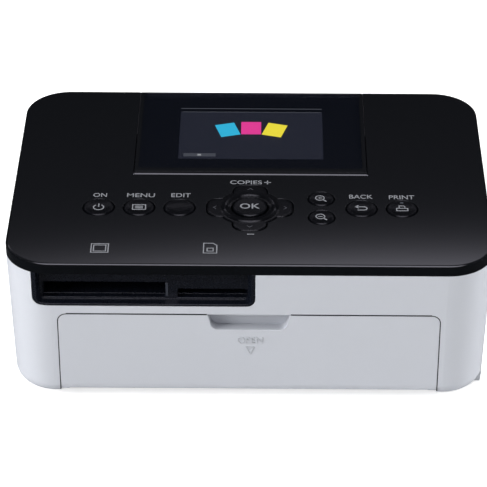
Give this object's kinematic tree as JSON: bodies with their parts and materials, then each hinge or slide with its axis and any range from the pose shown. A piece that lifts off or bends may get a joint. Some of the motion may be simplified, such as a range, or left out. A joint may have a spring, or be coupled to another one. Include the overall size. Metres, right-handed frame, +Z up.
{
  "type": "compact photo printer",
  "caption": "Small desktop photo printer: rounded white body, black top with keys and a tilting screen, card slots, a front cassette door, a side ink door and the print mechanism inside.",
  "frame": {"origin": "middle of the footprint, on the table under the feet", "axes": "+X to the right seen from the front, +Y from the front door to the back, +Z up"},
  "size_m": [0.178, 0.127, 0.0613],
  "materials": {
    "shell_white": "moulded ABS, fine satin texture",
    "gloss_black": "polished moulded ABS",
    "satin_black": "satin moulded ABS",
    "key_black": "polished moulded keys",
    "frame_grey": "moulded frame plastic",
    "zinc_steel": "zinc plated sheet and turned steel",
    "aluminium": "extruded heat sink",
    "acetal_white": "moulded acetal",
    "rubber_black": "ground rubber",
    "key_rubber": "silicone rubber",
    "board_green": "lacquered circuit board",
    "brass": "sintered bronze and turned brass",
    "window_clear": "smoke tinted acrylic window",
    "display_dark": "liquid crystal display",
    "case_dark": "moulded ink cassette case",
    "film_dark": "dye ribbon on its spool",
    "latch_blue": "moulded coloured lever"
  },
  "bodies": {
    "root": {"body_shell": "shell_white", "base_pan": "shell_white", "rubber_feet": "rubber_black", "base_screws": "zinc_steel", "top_cover": "gloss_black", "card_slot_bezel": "satin_black", "wide_card_socket": "satin_black", "small_card_socket": "satin_black", "card_reader_board": "board_green", "control_board": "board_green", "key_mat": "key_rubber", "bay_frame": "frame_grey", "left_chassis": "zinc_steel", "right_chassis": "zinc_steel", "cross_beam": "zinc_steel", "front_paper_guide": "frame_grey", "rear_paper_guide": "frame_grey", "shaft_bushes": "brass", "feed_motor": "zinc_steel", "motor_bracket": "zinc_steel", "gear_studs": "zinc_steel", "ink_cassette_case": "case_dark", "ink_ribbon": "film_dark", "arm_shaft": "zinc_steel", "main_board": "board_green", "power_inlet": "satin_black", "data_port": "zinc_steel"},
    "screen": {"screen_frame": "gloss_black", "screen_window": "window_clear", "display_panel": "display_dark", "screen_back_cover": "satin_black", "screen_hinge_pins": "zinc_steel"},
    "front_door": {"cassette_door": "shell_white"},
    "side_door": {"ink_door": "shell_white"},
    "power_key": {"power_button": "key_black"},
    "menu_key": {"menu_button": "key_black"},
    "edit_key": {"edit_button": "key_black"},
    "back_key": {"back_button": "key_black"},
    "print_key": {"print_button": "key_black"},
    "zoom_in_key": {"zoom_in_button": "key_black"},
    "zoom_out_key": {"zoom_out_button": "key_black"},
    "ok_key": {"ok_button": "key_black"},
    "pad_ring": {"pad_support_ring": "acetal_white"},
    "pad": {"navigation_pad": "key_black"},
    "capstan": {"capstan_roller": "zinc_steel", "capstan_gear": "acetal_white"},
    "pinch": {"pinch_roller": "rubber_black"},
    "platen": {"platen_roller": "rubber_black"},
    "pickup": {"pickup_roller": "rubber_black", "pickup_gear": "acetal_white"},
    "rotor": {"motor_pinion": "brass"},
    "reduction": {"reduction_gear": "acetal_white"},
    "idler": {"idler_gear": "acetal_white"},
    "takeup": {"takeup_spool": "film_dark", "takeup_drive_gear": "acetal_white"},
    "supply": {"supply_spool": "film_dark"},
    "head": {"print_head": "aluminium", "head_arm": "zinc_steel"},
    "latch": {"ink_latch": "latch_blue"}
  },
  "joints": [
    {"name": "screen_tilt", "type": "hinge", "parent": "root", "child": "screen", "pos_m": [0, 0.0016, 0.0584], "axis": [1, 0, 0], "range_deg": [0, 45]},
    {"name": "front_door_hinge", "type": "hinge", "parent": "root", "child": "front_door", "pos_m": [0, -0.059, 0.0055], "axis": [1, 0, 0], "range_deg": [0, 90]},
    {"name": "side_door_hinge", "type": "hinge", "parent": "root", "child": "side_door", "pos_m": [0.0846, 0, 0.0049], "axis": [0, 1, 0], "range_deg": [0, 90]},
    {"name": "power_press", "type": "slide", "parent": "root", "child": "power_key", "axis": [0, 0, -1], "range_m": [0, 0.0005], "stiffness_N_per_m": 300},
    {"name": "menu_press", "type": "slide", "parent": "root", "child": "menu_key", "axis": [0, 0, -1], "range_m": [0, 0.0005], "stiffness_N_per_m": 300},
    {"name": "edit_press", "type": "slide", "parent": "root", "child": "edit_key", "axis": [0, 0, -1], "range_m": [0, 0.0005], "stiffness_N_per_m": 300},
    {"name": "back_press", "type": "slide", "parent": "root", "child": "back_key", "axis": [0, 0, -1], "range_m": [0, 0.0005], "stiffness_N_per_m": 300},
    {"name": "print_press", "type": "slide", "parent": "root", "child": "print_key", "axis": [0, 0, -1], "range_m": [0, 0.0005], "stiffness_N_per_m": 300},
    {"name": "zoom_in_press", "type": "slide", "parent": "root", "child": "zoom_in_key", "axis": [0, 0, -1], "range_m": [0, 0.0005], "stiffness_N_per_m": 300},
    {"name": "zoom_out_press", "type": "slide", "parent": "root", "child": "zoom_out_key", "axis": [0, 0, -1], "range_m": [0, 0.0005], "stiffness_N_per_m": 300},
    {"name": "ok_press", "type": "slide", "parent": "root", "child": "ok_key", "axis": [0, 0, -1], "range_m": [0, 0.0005], "stiffness_N_per_m": 300},
    {"name": "pad_rock_y", "type": "hinge", "parent": "root", "child": "pad_ring", "pos_m": [0, -0.0244, 0.0569], "axis": [1, 0, 0], "range_deg": [-1.5, 1.5], "stiffness_Nm_per_rad": 0.05},
    {"name": "pad_rock_x", "type": "hinge", "parent": "pad_ring", "child": "pad", "pos_m": [0, -0.0244, 0.0574], "axis": [0, 1, 0], "range_deg": [-1.5, 1.5], "stiffness_Nm_per_rad": 0.05},
    {"name": "capstan_spin", "type": "hinge", "parent": "root", "child": "capstan", "pos_m": [0, 0.04703, 0.0325], "axis": [1, 0, 0], "continuous": true},
    {"name": "pinch_spin", "type": "hinge", "parent": "root", "child": "pinch", "pos_m": [0, 0.04703, 0.0397], "axis": [1, 0, 0], "continuous": true},
    {"name": "platen_spin", "type": "hinge", "parent": "root", "child": "platen", "pos_m": [0, 0.016, 0.03], "axis": [1, 0, 0], "continuous": true},
    {"name": "pickup_spin", "type": "hinge", "parent": "root", "child": "pickup", "pos_m": [0, -0.01401, 0.029], "axis": [1, 0, 0], "continuous": true},
    {"name": "rotor_spin", "type": "hinge", "parent": "root", "child": "rotor", "pos_m": [0, 0.01822, 0.0206], "axis": [1, 0, 0], "continuous": true},
    {"name": "reduction_spin", "type": "hinge", "parent": "root", "child": "reduction", "pos_m": [0, 0.03581, 0.02], "axis": [1, 0, 0], "continuous": true},
    {"name": "idler_spin", "type": "hinge", "parent": "root", "child": "idler", "pos_m": [0, 0.00314, 0.0187], "axis": [1, 0, 0], "continuous": true},
    {"name": "takeup_spin", "type": "hinge", "parent": "root", "child": "takeup", "pos_m": [0, 0.032, 0.04], "axis": [1, 0, 0], "continuous": true},
    {"name": "supply_spin", "type": "hinge", "parent": "root", "child": "supply", "pos_m": [0, 0, 0.04], "axis": [1, 0, 0], "continuous": true},
    {"name": "head_lower", "type": "hinge", "parent": "root", "child": "head", "pos_m": [0, 0.053, 0.046], "axis": [1, 0, 0], "range_deg": [0, 2.7], "stiffness_Nm_per_rad": 0.6, "springref_deg": -5.73},
    {"name": "latch_lift", "type": "hinge", "parent": "root", "child": "latch", "pos_m": [0.0615, -0.0153, 0.041], "axis": [1, 0, 0], "range_deg": [0, 25], "stiffness_Nm_per_rad": 0.01, "springref_deg": -11.46}
  ],
  "couplings": [
    {"joint": "pinch_spin", "follows": "capstan_spin", "ratio": -1},
    {"joint": "platen_spin", "follows": "capstan_spin", "ratio": 0.58333},
    {"joint": "reduction_spin", "follows": "capstan_spin", "ratio": -2.5},
    {"joint": "rotor_spin", "follows": "capstan_spin", "ratio": 6.6667},
    {"joint": "idler_spin", "follows": "capstan_spin", "ratio": -3.0769},
    {"joint": "pickup_spin", "follows": "capstan_spin", "ratio": 3.3333},
    {"joint": "takeup_spin", "follows": "capstan_spin", "ratio": -1.3333},
    {"joint": "supply_spin", "follows": "capstan_spin", "ratio": -1}
  ]
}
